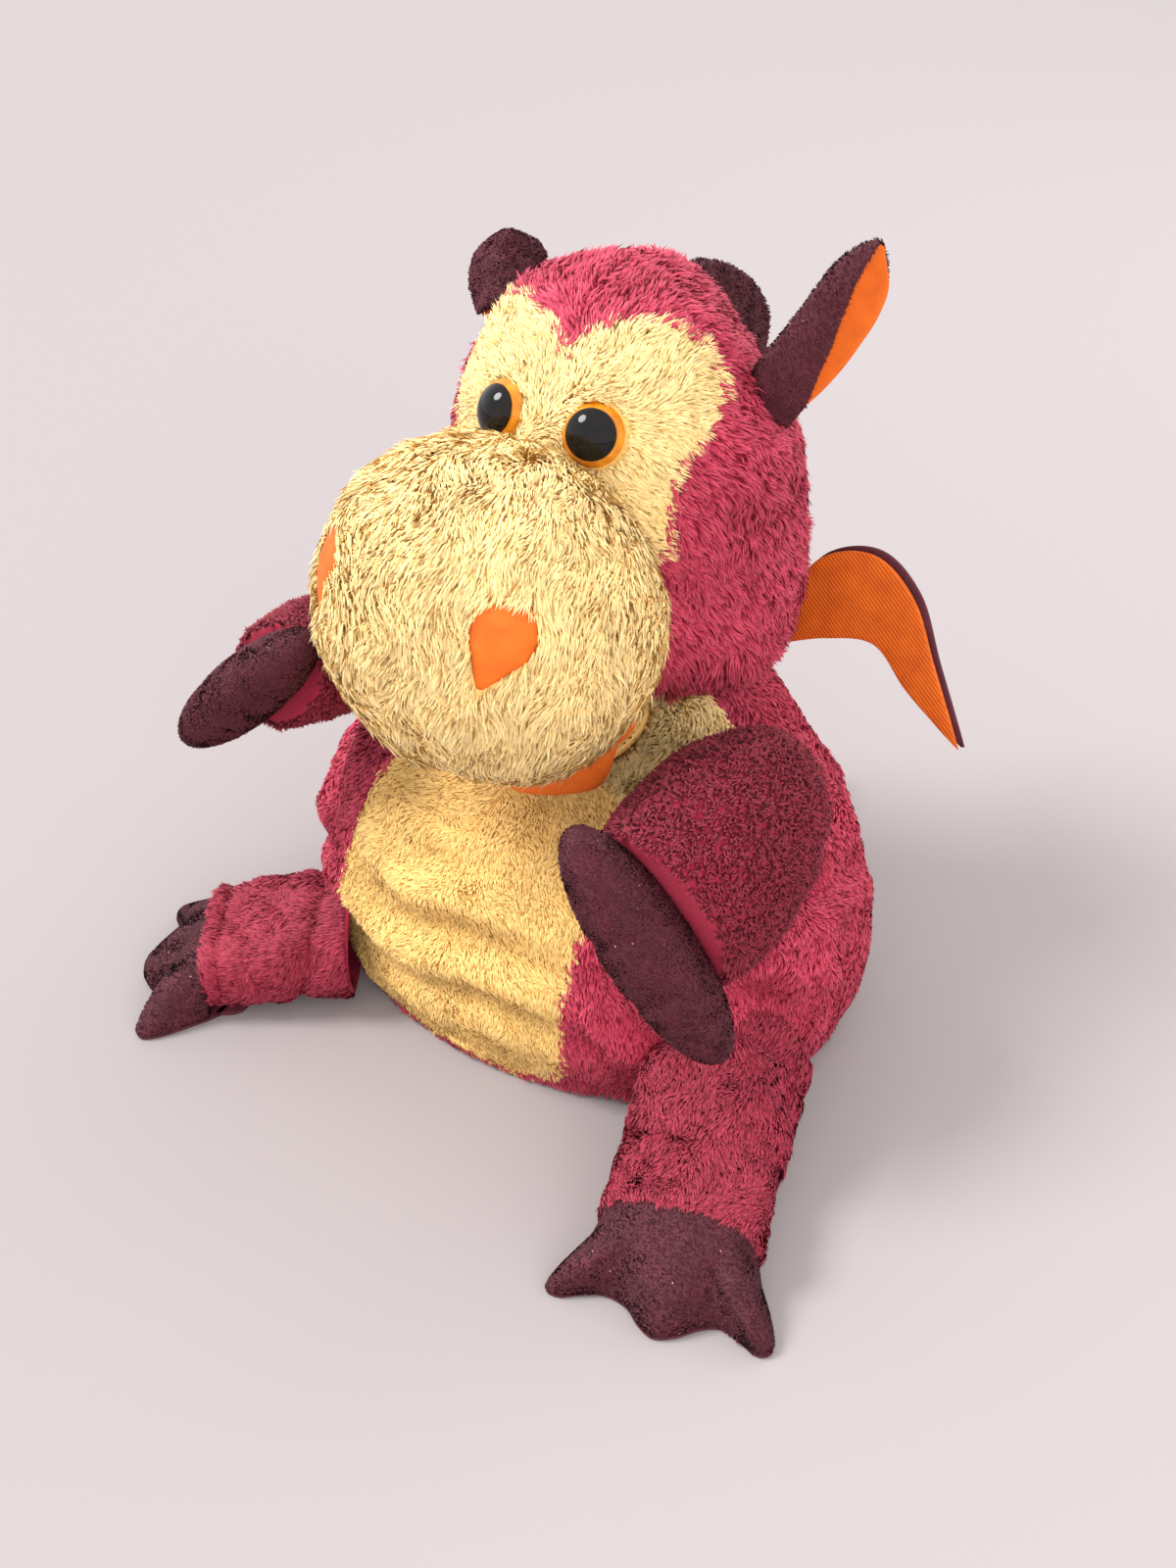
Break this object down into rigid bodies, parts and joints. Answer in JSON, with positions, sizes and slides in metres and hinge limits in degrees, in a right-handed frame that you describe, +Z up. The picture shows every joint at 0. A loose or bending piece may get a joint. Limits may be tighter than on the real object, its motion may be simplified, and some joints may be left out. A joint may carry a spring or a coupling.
{
  "type": "hand puppet",
  "caption": "Plush dragon glove puppet sitting on its hem, with a working mouth, turning head, safety eyes, ears, wings, stuffed arms, legs and tail.",
  "frame": {"origin": "centre of the hand opening, in the plane of the hem that the puppet sits on", "axes": "+Z up out of the surface it sits on, the face looks along -Y, the puppet's own left side is +X"},
  "size_m": [0.2917, 0.2951, 0.2775],
  "materials": {
    "raspberry_plush": "soft long pile plush",
    "yellow_plush": "soft long pile plush",
    "belly_plush": "short pile plush",
    "maroon_velour": "velour with a fine glitter",
    "orange_tricot": "matte brushed tricot",
    "lining_cloth": "thin matte woven lining",
    "wadding": "polyester wadding",
    "mouth_board": "thin flexible plastic sheet",
    "amber_plastic": "clear-coated amber",
    "black_plastic": "polished black",
    "washer_plastic": "natural plastic"
  },
  "bodies": {
    "torso": {"back_panel": "raspberry_plush", "belly_panel": "belly_plush", "glove_lining": "lining_cloth", "hem_band": "lining_cloth"},
    "neck": {"neck_back": "raspberry_plush", "neck_front": "yellow_plush", "neck_lining": "lining_cloth"},
    "head": {"skull_cover": "raspberry_plush", "face_mask": "yellow_plush", "muzzle_cover": "yellow_plush", "head_wadding": "wadding", "muzzle_wadding": "wadding", "finger_pocket": "lining_cloth", "palate_lining": "orange_tricot", "palate_board": "mouth_board", "left_nostril_patch": "orange_tricot", "right_nostril_patch": "orange_tricot", "left_eye_cap": "amber_plastic", "left_eye_pupil": "black_plastic", "left_eye_washer": "washer_plastic", "right_eye_cap": "amber_plastic", "right_eye_pupil": "black_plastic", "right_eye_washer": "washer_plastic", "head_crest": "maroon_velour"},
    "jaw": {"jaw_cover": "yellow_plush", "jaw_wadding": "wadding", "thumb_pocket": "lining_cloth", "jaw_board": "mouth_board", "jaw_lining": "orange_tricot"},
    "tail": {"tail_cover": "raspberry_plush", "tail_wadding": "wadding", "tail_tip": "maroon_velour"},
    "left_arm": {"left_sleeve": "raspberry_plush", "left_arm_wadding": "wadding", "left_paw": "maroon_velour"},
    "left_leg": {"left_leg_cover": "raspberry_plush", "left_leg_wadding": "wadding", "left_toe_cap": "maroon_velour", "left_sole": "maroon_velour"},
    "left_ear": {"left_ear_face": "maroon_velour", "left_ear_back": "orange_tricot"},
    "left_wing": {"left_wing_face": "orange_tricot", "left_wing_back": "maroon_velour"},
    "right_arm": {"right_sleeve": "raspberry_plush", "right_arm_wadding": "wadding", "right_paw": "maroon_velour"},
    "right_leg": {"right_leg_cover": "raspberry_plush", "right_leg_wadding": "wadding", "right_toe_cap": "maroon_velour", "right_sole": "maroon_velour"},
    "right_ear": {"right_ear_face": "maroon_velour", "right_ear_back": "orange_tricot"},
    "right_wing": {"right_wing_face": "orange_tricot", "right_wing_back": "maroon_velour"}
  },
  "joints": [
    {"name": "head_turn", "type": "hinge", "parent": "torso", "child": "neck", "pos_m": [0, 0.017, 0.132], "axis": [0, -0.342, 0.9397], "range_deg": [-10, 12]},
    {"name": "head_lift", "type": "hinge", "parent": "neck", "child": "head", "pos_m": [0, 0.017, 0.142], "axis": [-1, 0, 0], "range_deg": [0, 18]},
    {"name": "jaw_follow", "type": "hinge", "parent": "neck", "child": "jaw", "pos_m": [0, 0.017, 0.142], "axis": [-1, 0, 0], "range_deg": [0, 6]},
    {"name": "left_leg_lift", "type": "hinge", "parent": "torso", "child": "left_leg", "pos_m": [0.10109, -0.08095, 0.0172], "axis": [-0.9646, -0.2638, 0], "range_deg": [0, 50]},
    {"name": "right_leg_lift", "type": "hinge", "parent": "torso", "child": "right_leg", "pos_m": [-0.08998, -0.08348, 0.0172], "axis": [-0.5468, 0.8373, 0], "range_deg": [0, 50]},
    {"name": "left_arm_raise", "type": "hinge", "parent": "torso", "child": "left_arm", "pos_m": [0.086, -0.024, 0.116], "axis": [-0.9943, 0.1065, 0], "range_deg": [-6, 10]},
    {"name": "right_arm_raise", "type": "hinge", "parent": "torso", "child": "right_arm", "pos_m": [-0.084, -0.016, 0.117], "axis": [-0.9991, 0.0416, 0], "range_deg": [-15, 10]},
    {"name": "left_ear_bend", "type": "hinge", "parent": "head", "child": "left_ear", "pos_m": [0.058, 0.034, 0.226], "axis": [0.6435, 0.6865, -0.3385], "range_deg": [-12, 12], "stiffness_Nm_per_rad": 0.03},
    {"name": "right_ear_bend", "type": "hinge", "parent": "head", "child": "right_ear", "pos_m": [-0.058, 0.034, 0.226], "axis": [0.7911, 0.2548, 0.5561], "range_deg": [-12, 12], "stiffness_Nm_per_rad": 0.03},
    {"name": "left_wing_flap", "type": "hinge", "parent": "torso", "child": "left_wing", "pos_m": [0.044, 0.062, 0.125], "axis": [0, 0, 1], "range_deg": [-15, 30], "stiffness_Nm_per_rad": 0.03},
    {"name": "right_wing_flap", "type": "hinge", "parent": "torso", "child": "right_wing", "pos_m": [-0.044, 0.062, 0.125], "axis": [0, 0, -1], "range_deg": [-15, 30], "stiffness_Nm_per_rad": 0.03},
    {"name": "tail_swing", "type": "hinge", "parent": "torso", "child": "tail", "pos_m": [0.01066, 0.08685, 0.019], "axis": [0, 0, 1], "range_deg": [-6, 6]}
  ],
  "couplings": [
    {"joint": "jaw_follow", "follows": "head_lift", "ratio": 0.33}
  ]
}
